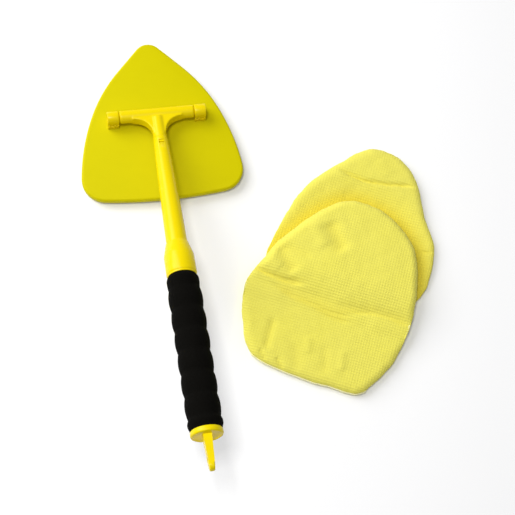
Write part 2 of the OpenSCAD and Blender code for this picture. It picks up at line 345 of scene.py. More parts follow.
handle = {"pivotHeight": 20.0, "tilt": 15}  # mm and degrees
onHandle = (Matrix.Translation((0, 0, handle["pivotHeight"] * mm))
            @ Matrix.Rotation(math.radians(90 - handle["tilt"]), 4, "X"))
weld = {"seam": 1e-6, "sliver": 1e-7, "mirror": 1e-5, "touch": 1e-4}  # how near counts as the same, m


def makeObject(name, bm, material):
    mesh = bpy.data.meshes.new(name)
    bm.to_mesh(mesh)
    bm.free()
    mesh.shade_smooth()
    mesh.materials.append(material)
    piece = bpy.data.objects.new(name, mesh)
    scene.collection.objects.link(piece)
    return piece


def finishPiece(name, bm, material, sharpAngle=35, place=None):
    # closes seams, turns faces outwards and makes the object
    bmesh.ops.remove_doubles(bm, verts=bm.verts, dist=weld["seam"])
    bmesh.ops.dissolve_degenerate(bm, edges=bm.edges, dist=weld["sliver"])
    bmesh.ops.recalc_face_normals(bm, faces=bm.faces)
    if place:
        bm.transform(place)
    piece = makeObject(name, bm, material)
    piece.data.set_sharp_from_angle(angle=math.radians(sharpAngle))
    return piece


def settle(piece):
    # keeps what the modifiers made
    evaluated = piece.evaluated_get(bpy.context.evaluated_depsgraph_get())
    mesh = bpy.data.meshes.new_from_object(evaluated)
    piece.modifiers.clear()
    piece.data = mesh
    return piece


def addModifier(piece, kind, **settings):
    modifier = piece.modifiers.new(kind.lower(), kind)
    for key, value in settings.items():
        setattr(modifier, key, value)


def belongs(piece, body, slot, *nodes):
    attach(piece, body)
    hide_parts(*nodes)
    print("piece ready:", piece.name, len(piece.data.polygons), "faces")


def vertsIn(geometry):
    return [g for g in geometry if isinstance(g, bmesh.types.BMVert)]


def nextCorner(bm, corner):
    # a new corner joined to this one by an edge; it is moved afterwards
    return bmesh.ops.extrude_vert_indiv(bm, verts=[corner])["verts"][0]


def drawArc(bm, corner, centre, axis, angle, steps):
    # an arc from the corner round the centre; gives back its far end
    swung = bmesh.ops.spin(bm, geom=[corner], cent=centre, axis=axis, angle=angle, steps=steps)
    return vertsIn(swung["geom_last"])[0]


def mirrorOutline(bm, axis):
    bmesh.ops.mirror(bm, geom=bm.verts[:] + bm.edges[:], matrix=Matrix.Identity(4),
                     merge_dist=weld["mirror"], axis=axis)
    bmesh.ops.remove_doubles(bm, verts=bm.verts, dist=weld["mirror"])


def raiseFaces(bm, faces, move):
    made = bmesh.ops.extrude_face_region(bm, geom=list(faces))
    raised = vertsIn(made["geom"])
    bmesh.ops.translate(bm, vec=move, verts=raised)
    return raised


def pourInto(bm, source):
    # adds one bmesh to another and frees it
    scratch = bpy.data.meshes.new("scratch")
    source.to_mesh(scratch)
    source.free()
    bm.from_mesh(scratch)
    bpy.data.meshes.remove(scratch)


def crosswise(height):
    # a circle at this height on the axis, facing sideways
    return Matrix.Translation((0, 0, height * mm)) @ Matrix.Rotation(math.pi / 2, 4, "Y")


def roundOff(bm, geometry, size, segments=3, affect="EDGES"):
    bmesh.ops.bevel(bm, geom=list(geometry), offset=size, offset_type="OFFSET", affect=affect,
                    segments=segments, profile=0.5, material=-1, clamp_overlap=True)


def turned(points, steps=96, closed=False):
    # turns a profile of (radius, distance along the handle, rounding) in mm about the handle's axis
    bm = bmesh.new()
    corners = [bm.verts.new((p[0] * mm, 0, p[1] * mm)) for p in points]
    for a, b in zip(corners, corners[1:] + (corners[:1] if closed else [])):
        bm.edges.new((a, b))
    for corner, p in zip(corners, points):
        if len(p) > 2:
            roundOff(bm, [corner], p[2] * mm, 4, "VERTICES")
    bmesh.ops.spin(bm, geom=bm.verts[:] + bm.edges[:], cent=(0, 0, 0), axis=(0, 0, 1),
                   angle=2 * math.pi, steps=steps, use_merge=True)
    return bm


def addRod(bm, radius, start, end, segments=64):
    # a closed round bar between two points of the handle's own frame, in mm
    a, b = Vector(start) * mm, Vector(end) * mm
    turn = (b - a).to_track_quat("Z", "Y").to_matrix().to_4x4()
    bmesh.ops.create_cone(bm, cap_ends=True, segments=segments, radius1=radius * mm, radius2=radius * mm,
                          depth=(b - a).length, matrix=Matrix.Translation((a + b) / 2) @ turn)


head = {
    "rear": 79.5, "tipRadius": 14, "sideArcs": [(480, 6.7), (22, 96), (200, 113), (150, 134)],
    "arcSteps": [10, 16, 12, 12], "tipSteps": 14,
    "low": 3.0, "top": 10.5, "rim": 3.0, "skin": 3.2, "edgeRound": 2.4, "lowRound": 2.4, "sharp": 1.0,
}


def headOutline(inset, z):
    # tangent arcs from the middle of the rear edge round to the tip, then the mirror image
    bm = bmesh.new()
    point = bm.verts.new((0, (inset - head["rear"]) * mm, z * mm))
    heading = 0.0
    for (radius, end), steps in zip(head["sideArcs"], head["arcSteps"]):
        reach = (radius - inset) * mm
        centre = point.co + reach * Vector((-math.sin(heading), math.cos(heading), 0))
        point = drawArc(bm, point, centre, (0, 0, 1), math.radians(end) - heading, steps)
        heading = math.radians(end)
    tipReach = (head["tipRadius"] - inset) * mm
    straight = point.co.x - tipReach * math.sin(heading)
    point = nextCorner(bm, point)
    point.co += straight * Vector((-1, -math.tan(heading), 0))
    centre = point.co + tipReach * Vector((-math.sin(heading), math.cos(heading), 0))
    drawArc(bm, point, centre, (0, 0, 1), math.pi - heading, head["tipSteps"])
    mirrorOutline(bm, "X")
    bmesh.ops.contextual_create(bm, geom=bm.edges[:])
    return bm


def edgesAt(bm, test):
    return [e for e in bm.edges if all(test(v.co) for v in e.verts)]


def facingDown(bm):
    return [f for f in bm.faces if f.normal.z < -0.9]


def makeHeadPlate():
    bm = headOutline(0, head["low"])
    raiseFaces(bm, bm.faces[:], (0, 0, (head["top"] - head["low"]) * mm))
    bmesh.ops.recalc_face_normals(bm, faces=bm.faces)
    pocket = bmesh.ops.inset_region(bm, faces=facingDown(bm), thickness=head["rim"] * mm,
                                    use_even_offset=True)
    pocketFloor = [f for f in facingDown(bm) if f not in pocket["faces"]]
    deep = bmesh.ops.extrude_face_region(bm, geom=pocketFloor)
    bmesh.ops.delete(bm, geom=pocketFloor, context="FACES_KEEP_BOUNDARY")
    bmesh.ops.translate(bm, vec=(0, 0, (head["top"] - head["skin"] - head["low"]) * mm),
                        verts=vertsIn(deep["geom"]))
    top, low = head["top"] * mm - weld["seam"], head["low"] * mm + weld["seam"]
    rimEdges = [e for e in edgesAt(bm, lambda c: c.z > top) if len(e.link_faces) == 2]
    roundOff(bm, rimEdges, head["edgeRound"] * mm, 6)
    lowEdges = [e for e in edgesAt(bm, lambda c: c.z < low) if e.calc_face_angle(0) > head["sharp"]]
    roundOff(bm, lowEdges, head["lowRound"] * mm, 5)
    return finishPiece("headPlate", bm, plateYellow, 30)


headPlate = makeHeadPlate()
belongs(headPlate, "head", "plate_yellow", "head_plate")

sole = {"gap": 0.02, "thickness": 5.0, "round": 1.2}


def makeSole():
    bm = headOutline(head["rim"] + sole["gap"], 0)
    raiseFaces(bm, bm.faces[:], (0, 0, sole["thickness"] * mm))
    bmesh.ops.recalc_face_normals(bm, faces=bm.faces)
    roundOff(bm, edgesAt(bm, lambda c: c.z < weld["seam"]), sole["round"] * mm, 4)
    return finishPiece("solePad", bm, soleFoam, 40)


solePad = makeSole()
belongs(solePad, "head", "sole_foam", "sole_pad")


clip = {
    "centre": 40.65, "width": 10.7, "depth": 12.4, "bore": 4.05, "edge": 0.7, "sharp": 1.2, "sink": 0.02,
    "foot": 0.8, "footHeight": 4.6, "footEdge": 0.5, "overlap": 1.0,
    "ribs": (-3.6, 1.2, 4.5), "ribWidth": 1.3, "ribTop": 7.2, "ribEdge": 0.3, "ribOut": 0.1,
}


def addBlock(bm, low, high, edge=0.0):
    # a box between two corners in mm, its edges rounded
    a, b = Vector(low) * mm, Vector(high) * mm
    made = bmesh.ops.create_cube(bm, size=1, matrix=Matrix.Translation((a + b) / 2)
                                 @ Matrix.Diagonal((*(b - a), 1)))
    if edge:
        roundOff(bm, {e for v in made["verts"] for e in v.link_edges}, edge * mm)


def outsideHole(bm, sharp, height, radius):
    # sharp edges that aren't on the rim of the crosswise hole at this height
    axis = Vector((0, height * mm))
    return [e for e in bm.edges if e.calc_face_angle(0) > sharp
            and all((v.co.yz - axis).length > radius * mm + weld["touch"] for v in e.verts)]


def makeClip(name, side):
    bm = bmesh.new()
    half, low, axis = clip["depth"] / 2, head["top"], handle["pivotHeight"]
    start = bm.verts.new((0, half * mm, (low - clip["sink"]) * mm))
    up = nextCorner(bm, start)
    up.co.z = axis * mm
    down = nextCorner(bm, drawArc(bm, up, (0, 0, axis * mm), (1, 0, 0), math.pi, 28))
    down.co.z = start.co.z
    bm.edges.new((down, start))
    bmesh.ops.create_circle(bm, segments=40, radius=clip["bore"] * mm, matrix=crosswise(axis))
    bmesh.ops.triangle_fill(bm, edges=bm.edges[:], use_beauty=True)
    bmesh.ops.translate(bm, vec=(-clip["width"] / 2 * mm, 0, 0), verts=bm.verts[:])
    raiseFaces(bm, bm.faces[:], (clip["width"] * mm, 0, 0))
    bmesh.ops.recalc_face_normals(bm, faces=bm.faces)
    outer = [e for e in outsideHole(bm, clip["sharp"], axis, clip["bore"])
             if max(v.co.z for v in e.verts) > low * mm]
    roundOff(bm, outer, clip["edge"] * mm)
    x = clip["width"] / 2
    front, back = -half + clip["overlap"], -half - clip["foot"]
    addBlock(bm, (-x, back, low - clip["sink"]), (x, front, low + clip["footHeight"]), clip["footEdge"])
    for rib in clip["ribs"]:
        addBlock(bm, (-side * rib - clip["ribWidth"] / 2, back - clip["ribOut"], low),
                 (-side * rib + clip["ribWidth"] / 2, front, low + clip["ribTop"]), clip["ribEdge"])
    bmesh.ops.translate(bm, vec=(side * clip["centre"] * mm, 0, 0), verts=bm.verts[:])
    return finishPiece(name, bm, wandYellow, 40)


for name, side, node in (("clipLeft", -1, "pivot_clip_left"), ("clipRight", 1, "pivot_clip_right")):
    belongs(makeClip(name, side), "head", "wand_yellow", node)


yoke = {
    "barRadius": 6.0, "barHalf": 34.5, "trunnion": 4.0, "trunnionHalf": 45.5,
    "neckRadius": 6.4, "neckStart": 5.0, "neckEnd": 28.5, "hollowRadius": 17.0, "webThick": 9.0,
    "spigotRadius": 5.2, "spigotSink": 3.0, "spigotEnd": 58.5, "grooveFloor": 1.7, "grooveEnd": 51.3,
    "voxel": 0.62, "smooth": 7,
}


def addWeb(bm):
    # the flat web whose two hollows run from the crossbar into the neck
    reach = yoke["barRadius"] + yoke["hollowRadius"]
    half = yoke["webThick"] / 2
    web = bmesh.new()
    corner = nextCorner(web, web.verts.new((0, -half * mm, 0)))
    corner.co.x = reach * mm
    foot = nextCorner(web, corner)
    foot.co.z = yoke["barRadius"] * mm
    top = nextCorner(web, drawArc(web, foot, (reach * mm, -half * mm, reach * mm), (0, 1, 0),
                                  math.pi / 2, 20))
    top.co.x = 0
    mirrorOutline(web, "X")
    bmesh.ops.contextual_create(web, geom=web.edges[:])
    raiseFaces(web, web.faces[:], (0, 2 * half * mm, 0))
    bmesh.ops.recalc_face_normals(web, faces=web.faces)
    pourInto(bm, web)


def makeYoke():
    bm = bmesh.new()
    addRod(bm, yoke["barRadius"], (-yoke["barHalf"], 0, 0), (yoke["barHalf"], 0, 0), 96)
    addRod(bm, yoke["trunnion"], (-yoke["trunnionHalf"], 0, 0), (yoke["trunnionHalf"], 0, 0))
    addRod(bm, yoke["neckRadius"], (0, 0, yoke["neckStart"]), (0, 0, yoke["neckEnd"]), 96)
    addWeb(bm)
    piece = finishPiece("crossbarYoke", bm, wandYellow, 180)
    addModifier(piece, "REMESH", mode="VOXEL", voxel_size=yoke["voxel"] * mm, use_smooth_shade=True)
    addModifier(piece, "SMOOTH", factor=0.5, iterations=yoke["smooth"])
    settle(piece)
    # the spigot inside the pole is flat on top where the latch leaf lies
    bm = bmesh.new()
    bm.from_mesh(piece.data)
    bpy.data.objects.remove(piece)
    spigot = bmesh.new()
    low = yoke["neckEnd"] - yoke["spigotSink"]
    bmesh.ops.create_circle(spigot, cap_ends=True, segments=64, radius=yoke["spigotRadius"] * mm,
                            matrix=Matrix.Translation((0, 0, low * mm)))
    bmesh.ops.bisect_plane(spigot, geom=spigot.verts[:] + spigot.edges[:] + spigot.faces[:],
                           plane_co=(0, yoke["grooveFloor"] * mm, 0), plane_no=(0, 1, 0), clear_outer=True)
    raiseFaces(spigot, spigot.faces[:], (0, 0, (yoke["grooveEnd"] - low) * mm))
    bmesh.ops.recalc_face_normals(spigot, faces=spigot.faces)
    addRod(spigot, yoke["spigotRadius"], (0, 0, yoke["grooveEnd"]), (0, 0, yoke["spigotEnd"]))
    pourInto(bm, spigot)
    return finishPiece("crossbarYoke", bm, wandYellow, 50, onHandle)


belongs(makeYoke(), "handle", "wand_yellow", "crossbar_yoke")


pole = {
    "outside": [(5.9, 28.5), (6.7, 28.5, 0.25), (6.8, 31.5), (7.55, 49.5, 4), (8.05, 73.5, 6),
                (9.0, 112.5, 8), (9.35, 141, 4), (9.35, 179, 0.3)],
    "inside": [(7.85, 179), (7.85, 141), (6.55, 74.5), (5.22, 59.5), (5.22, 28.5)],
    "window": ((-2.5, 0.5, 33.1), (2.5, 9.0, 36.4)), "windowEdge": 0.3,
}


def makePole():
    bm = turned(pole["outside"] + pole["inside"], 128, closed=True)
    piece = finishPiece("pole", bm, wandYellow, 30, onHandle)
    # the opening that the latch sits in
    bm = bmesh.new()
    addBlock(bm, *pole["window"], pole["windowEdge"])
    cutter = finishPiece("cutter", bm, wandYellow, 180, onHandle)
    addModifier(piece, "BOOLEAN", operation="DIFFERENCE", solver="EXACT", object=cutter)
    settle(piece)
    bpy.data.objects.remove(cutter)
    return piece


belongs(makePole(), "handle", "wand_yellow", "pole")


core = {
    "profile": [(9.37, 141), (10.07, 141, 0.3), (13.0, 152.6, 2.5), (13.3, 154.0), (13.4, 171.6, 0.5),
                (12.85, 172.2), (12.85, 173.9, 0.2), (11.3, 173.98), (11.3, 155), (10.7, 154), (10.7, 315.4),
                (9.37, 315.4)],
}
belongs(finishPiece("gripCore", turned(core["profile"], 128, closed=True), wandYellow, 30, onHandle),
        "handle", "wand_yellow", "grip_core")

foam = {
    "start": 174.0, "first": 13.0, "lobes": 6, "lobe": 19.7, "last": 10.3,
    "groove": 13.4, "crown": 1.4, "crownShape": 0.8, "flare": 0.5, "bore": 10.72, "steps": 12,
    "shoulder": 1.6, "shoulderRise": 3.2, "frontCrown": 0.3,
    "endCrown": 0.8, "endReach": 1.2, "endFall": 0.6, "endShape": 6,
    "dimple": 0.10, "dimpleSize": 3.0, "skin": 1.0,
}


def foamProfile():
    # the front shoulder, the finger lobes, then the shorter lobe at the cap
    shares = [k / foam["steps"] for k in range(foam["steps"] + 1)]
    groove, crown, at = foam["groove"], foam["crown"], foam["start"]
    points = [(foam["bore"], at)]
    for u in shares:
        rise = math.sin(math.pi / 2 * min(1, foam["shoulderRise"] * u))
        radius = groove + foam["flare"] * (1 - u) - foam["shoulder"] * (1 - rise)
        points.append((radius + crown * foam["frontCrown"] * math.sin(math.pi * u), at + foam["first"] * u))
    at += foam["first"]
    for lobe in range(foam["lobes"]):
        for u in shares[1:]:
            points.append((groove + crown * math.sin(math.pi * u) ** foam["crownShape"],
                           at + foam["lobe"] * u))
        at += foam["lobe"]
    for u in shares[1:]:
        swelling = foam["endCrown"] * math.sin(math.pi * min(1, foam["endReach"] * u))
        radius = groove + foam["flare"] * u + crown * swelling - foam["endFall"] * u ** foam["endShape"]
        points.append((radius, at + foam["last"] * u))
    points.append((foam["bore"], at + foam["last"]))
    return points


def makeFoam():
    bm = turned(foamProfile(), 160, closed=True)
    bmesh.ops.remove_doubles(bm, verts=bm.verts, dist=weld["seam"])
    bmesh.ops.recalc_face_normals(bm, faces=bm.faces)
    size = foam["dimpleSize"] * mm
    for v in bm.verts:
        outward = Vector((v.co.x, v.co.y, 0))
        if outward.length > (foam["bore"] + foam["skin"]) * mm:
            v.co += outward.normalized() * noise.noise(v.co / size) * foam["dimple"] * mm
    return finishPiece("foamGrip", bm, gripFoam, 45, onHandle)


foamGrip = makeFoam()
belongs(foamGrip, "handle", "grip_foam", "foam_grip")

cap = {
    "profile": [(0, 317), (7.7, 317), (7.7, 301.5), (9.33, 301.5), (9.33, 315.55), (13.2, 315.55, 0.2),
                (13.7, 316.3, 0.3), (13.7, 319.7, 0.7), (12.7, 320.5, 0.4), (11.2, 320.5, 0.2),
                (10.7, 320, 0.2), (0, 320)],
    "start": 319.8, "end": 349.5, "rootWidth": 12.0, "tipWidth": 10.0, "rootThick": 7.3, "tipThick": 4.4,
    "hole": 2.8, "holeAt": 341.0, "edge": 1.0, "sharp": 1.2,
}


def makeCap():
    bm = turned(cap["profile"], 128)
    body = finishPiece("endCap", bm, wandYellow, 30)
    tab = bmesh.new()
    tip = cap["tipWidth"] / 2
    centre = cap["end"] - tip
    # outline in the YZ plane of the handle: root corner, tangent to the round tip, mirrored
    root = nextCorner(tab, tab.verts.new((0, 0, cap["start"] * mm)))
    root.co.y = cap["rootWidth"] / 2 * mm
    shoulder = nextCorner(tab, root)
    shoulder.co = (0, tip * mm, centre * mm)
    drawArc(tab, shoulder, (0, 0, centre * mm), (1, 0, 0), math.pi / 2, 14)
    mirrorOutline(tab, "Y")
    bmesh.ops.create_circle(tab, segments=32, radius=cap["hole"] * mm, matrix=crosswise(cap["holeAt"]))
    bmesh.ops.triangle_fill(tab, edges=tab.edges[:], use_beauty=True)
    moved = set(raiseFaces(tab, tab.faces[:], (0, 0, 0)))
    for v in tab.verts:
        u = (v.co.z / mm - cap["start"]) / (cap["end"] - cap["start"])
        thick = cap["rootThick"] + (cap["tipThick"] - cap["rootThick"]) * u
        v.co.x = thick / 2 * mm * (1 if v in moved else -1)
    bmesh.ops.recalc_face_normals(tab, faces=tab.faces)
    rim = [e for e in outsideHole(tab, cap["sharp"], cap["holeAt"], cap["hole"])
           if min(v.co.z for v in e.verts) > cap["start"] * mm]
    roundOff(tab, rim, cap["edge"] * mm, 4)
    bm = bmesh.new()
    bm.from_mesh(body.data)
    pourInto(bm, tab)
    bpy.data.objects.remove(body)
    return finishPiece("endCap", bm, wandYellow, 35, onHandle)


belongs(makeCap(), "handle", "wand_yellow", "end_cap")

for node, material in (("pole_latch", wandYellow), ("clip_screws", screwSteel)):
    solid = frame["nodes"][node]
    solid.data.materials.clear()
    solid.data.materials.append(material)


bonnet = {
    "pitch": 2.45,         # one waffle cell, mm
    "samples": 3,          # grid steps per cell
    "rowTurn": -23.1,      # heading of the rows, degrees
    "rowRelief": 0.25, "columnRelief": 0.14, "reliefDown": 0.12, "cloth": 1.1,
    "top": 10.0, "seam": 4.8, "lift": 9.6, "drop": (-0.4, -0.9165),
    "rest": 6.8, "restSlope": (127, 156), "room": (5.2, 4.3), "roomEnds": (30, 42), "roomSoft": 1.0,
    "foldFade": 0.22,      # share of a fold's length over which its ends run out
    # random swells: height and size in mm, seed
    "swells": ((0.5, 24, 1.7), (0.25, 9, 5.1)), "edgeSwells": ((0.6, 11, 3.3), (0.35, 5, 6.1)),
    "pileSwells": ((0.05, 1.9, 9.3),),
}
foldAndGapShade = {
    # painted shade: how much the colour darkens to a darker orange, in folds and by distance from the upper
    # bonnet's edge, where the lower bonnet lies in its shade
    "perFold": 0.07, "mostInFolds": 0.2, "near": 0.55, "nearReach": (-17, -1), "wide": 0.15,
    "wideReach": (-32, -12), "most": 0.8,
}
lowerBonnet = {
    "name": "lowerBonnet", "body": "lower_bonnet", "centre": (166, -130), "edgeRun": 8.0,
    "points": [(207, -50), (227, -61), (240, -84), (242, -122), (246, -149), (239, -176), (222, -200),
               (186, -211), (140, -209), (96, -190), (84, -150), (96, -124), (124, -88), (146, -71),
               (174, -58), (190, -51)],
    # folds: line in mm, depth, width uphill, width downhill
    "folds": [
        ([(162, -64), (173, -72), (188, -81), (209, -87), (242, -93)], 1.9, 2.6, 1.5),
        ([(228, -155), (244, -158)], 0.9, 1.5, 1.5),
        ([(150, -84), (170, -92)], -0.5, 7, 7),
        ([(205, -62), (214, -80)], -0.4, 8, 8),
    ],
    "creases": [([(170, -70), (188, -81), (209, -87), (246, -94)], 0.8, 1.6, 1.0)],
    "pressed": 4.2, "pressReach": (-30, 1), "settled": 0.3,
    # flat sizes in metres: the face, then the strip that the skirt is gathered from
    "cutFace": (0.176, 0.181), "cutArea": 0.0243, "cutStrip": (0.520, 0.030), "restsOn": [],
}
upperBonnet = {
    "name": "upperBonnet", "body": "upper_bonnet", "centre": (141, -190), "edgeRun": 7.5,
    "points": [(172, -101), (203, -117), (222, -146), (224, -170), (215, -209), (193, -250), (169, -271),
               (150, -280), (125, -270), (98, -258), (60, -233), (55, -203), (62, -167), (86, -142),
               (100, -130), (141, -107)],
    "folds": [
        ([(60, -148), (72, -155), (85, -164), (98, -171), (120, -177)], 2.2, 4.5, 1.6),
        ([(84, -170), (102, -185), (122, -197), (134, -206), (146, -212), (159, -215)], 3.0, 10, 2.2),
        ([(138, -203), (155, -206), (171, -209), (188, -215), (212, -230)], 1.8, 6, 1.8),
        ([(96, -137), (107, -166)], 1.6, 7, 6),
        ([(84, -144), (95, -160)], -0.7, 6, 6),
        ([(146, -118), (156, -152)], 2.0, 7, 9),
        ([(132, -116), (141, -146)], -1.1, 8, 7),
        ([(84, -201), (78, -215), (71, -232)], 1.4, 3.5, 4.5),
        ([(66, -228), (70, -240)], 1.0, 2.2, 2.2),
        ([(80, -238), (85, -250)], 1.0, 2.2, 2.2),
        ([(113, -222), (109, -240)], -0.8, 4, 4),
        ([(142, -238), (137, -260)], -0.8, 4, 4),
        ([(89, -133), (107, -142), (126, -153)], 1.0, 5, 4),
        ([(100, -225), (97, -255)], 0.7, 5, 5),
        ([(126, -232), (122, -262)], 0.6, 5, 5),
    ],
    "creases": [
        ([(80, -167), (102, -184), (122, -195), (134, -203), (146, -208), (164, -212)], 0.9, 2.0, 1.1),
        ([(58, -147), (72, -155), (85, -163), (98, -169), (114, -173)], 0.8, 1.8, 1.0),
        ([(152, -206), (171, -209), (188, -215), (214, -230)], 0.7, 1.8, 1.0),
    ],
    "slope": (97, 136), "hemShows": (215, 292),
    "cutFace": (0.186, 0.196), "cutArea": 0.0251, "cutStrip": (0.540, 0.030),
    "restsOn": ["lowerBonnetFace"],
}


def swellHeight(p, swells):
    return sum(height * np.array([noise.noise(Vector((x / size, y / size, seed))) for x, y in p])
               for height, size, seed in swells)


def closedCurve(points, steps=24):
    # smooth closed curve through the points, with the small waves of a sewn edge
    p = np.array(points, float)
    out = []
    for i in range(len(p)):
        a, b, c, d = (p[(i + k) % len(p)] for k in (-1, 0, 1, 2))
        for k in range(steps):
            t = k / steps
            out.append(0.5 * (2 * b + (c - a) * t + (2 * a - 5 * b + 4 * c - d) * t * t
                              + (3 * b - a - 3 * c + d) * t ** 3))
    out = np.array(out)
    away = out - out.mean(0)
    rough = swellHeight(out, bonnet["edgeSwells"])
    return out + away / np.linalg.norm(away, axis=1)[:, None] * rough[:, None]


def evenOutline(look, count):
    # the bonnet's outline as evenly spaced points, with their outward normals and the whole length
    curve = closedCurve(look["points"])
    ring = np.vstack([curve, curve[:1]])
    run = np.concatenate([[0], np.cumsum(np.linalg.norm(np.diff(ring, axis=0), axis=1))])
    at = np.arange(count) / count * run[-1]
    even = np.stack([np.interp(at, run, ring[:, k]) for k in (0, 1)], 1)
    tangent = np.roll(even, -1, 0) - np.roll(even, 1, 0)
    tangent /= np.linalg.norm(tangent, axis=1)[:, None]
    outward = np.stack([tangent[:, 1], -tangent[:, 0]], 1)
    x, y = even.T
    if np.sum(x * np.roll(y, -1) - y * np.roll(x, -1)) < 0:
        outward = -outward
    return even, outward, run[-1]


def towardsMiddle(ring, look):
    way = np.array(look["centre"], float) - ring
    return way / np.linalg.norm(way, axis=1)[:, None]


def depthInside(p, ring, outward, batch=4000):
    # distance inside the outline (negative outside) and the outward direction at the nearest point
    depth, direction = np.zeros(len(p)), np.zeros((len(p), 2))
    ahead = np.roll(ring, -1, 0) - ring
    for low in range(0, len(p), batch):
        q = p[low:low + batch]
        gap = q[:, None, :] - ring[None]
        t = np.clip(np.einsum("ijk,jk->ij", gap, ahead) / np.sum(ahead ** 2, 1), 0, 1)
        away = gap - t[..., None] * ahead
        distance = np.linalg.norm(away, axis=2)
        near = distance.argmin(1)
        rows = np.arange(len(q))
        share = t[rows, near][:, None]
        normal = outward[near] * (1 - share) + np.roll(outward, -1, 0)[near] * share
        normal /= np.linalg.norm(normal, axis=1)[:, None]
        side = np.sign(np.einsum("ij,ij->i", away[rows, near], normal))
        depth[low:low + batch] = -side * distance[rows, near]
        direction[low:low + batch] = normal
    return depth, direction


def insideUpper(p):
    # how far inside the upper bonnet's outline each point is
    return depthInside(p, *evenOutline(upperBonnet, 400)[:2])[0]


def smoothStep(value, low, high):
    t = np.clip((value - low) / (high - low), 0, 1)
    return t * t * (3 - 2 * t)


def foldHeight(p, folds):
    # each fold is a groove along a line, with its own width on either side; a negative depth is a ridge
    height = np.zeros(len(p))
    for line, depth, uphill, downhill in folds:
        line = np.array(line, float)
        ahead = np.diff(line, axis=0)
        length = np.linalg.norm(ahead, axis=1)
        gap = p[:, None, :] - line[None, :-1]
        t = np.clip(np.einsum("ijk,jk->ij", gap, ahead) / length ** 2, 0, 1)
        away = gap - t[..., None] * ahead
        distance = np.linalg.norm(away, axis=2)
        near = distance.argmin(1)
        rows = np.arange(len(p))
        before = np.concatenate([[0], np.cumsum(length)[:-1]])
        run = (before[near] + t[rows, near] * length[near]) / length.sum()
        side = ahead[near, 0] * away[rows, near, 1] - ahead[near, 1] * away[rows, near, 0]
        lean = side / (length[near] * np.maximum(distance[rows, near], 1e-6))
        width = downhill + (uphill - downhill) * (0.5 + 0.5 * lean)
        fade = smoothStep(np.minimum(run, 1 - run), 0, bonnet["foldFade"])
        height -= depth * fade * np.exp(-(distance[rows, near] / width) ** 2)
    return height


def drapeBase(p, look):
    # height of what the bonnet lies on: the table, or the lower bonnet and then down to the table
    if "slope" not in look:
        return np.zeros(len(p))
    down = p @ np.array(bonnet["drop"])
    return bonnet["rest"] * (1 - smoothStep(down, *bonnet["restSlope"]))


def faceTop(p, look, depth):
    # height of the top of the cloth, away from its rounded edge
    if "slope" in look:
        down = p @ np.array(bonnet["drop"])
        top = bonnet["top"] + bonnet["lift"] * (1 - smoothStep(down, *look["slope"]))
    else:
        pressed = smoothStep(insideUpper(p), *look["pressReach"])
        top = bonnet["top"] - look["settled"] - look["pressed"] * pressed
    top = top + foldHeight(p, look["folds"]) + swellHeight(p, bonnet["swells"])
    # the cloth never sinks into its own gathered underside
    ring, middle = bonnet["room"]
    soft = bonnet["roomSoft"]
    low = drapeBase(p, look) + ring + (middle - ring) * smoothStep(depth, *bonnet["roomEnds"])
    top = np.where(top > low + soft, top, low + soft * np.exp(np.minimum((top - low) / soft - 1, 0)))
    return top + foldHeight(p, look["creases"])


def paintedShadeShare(p, look):
    # painted shade: the colour darkens to orange in a fold, and on the lower bonnet next to the upper
    # bonnet's edge
    share = np.clip(-foldHeight(p, look["folds"]) * foldAndGapShade["perFold"], 0, foldAndGapShade["mostInFolds"])
    if "pressed" in look:
        inside = insideUpper(p)
        share = (share + foldAndGapShade["near"] * smoothStep(inside, *foldAndGapShade["nearReach"])
                 + foldAndGapShade["wide"] * smoothStep(inside, *foldAndGapShade["wideReach"]))
    return np.clip(share, 0, foldAndGapShade["most"])


def edgeLength(look):
    rise = bonnet["top"] - bonnet["seam"]
    return math.pi / 2 * math.sqrt((look["edgeRun"] ** 2 + rise ** 2) / 2)


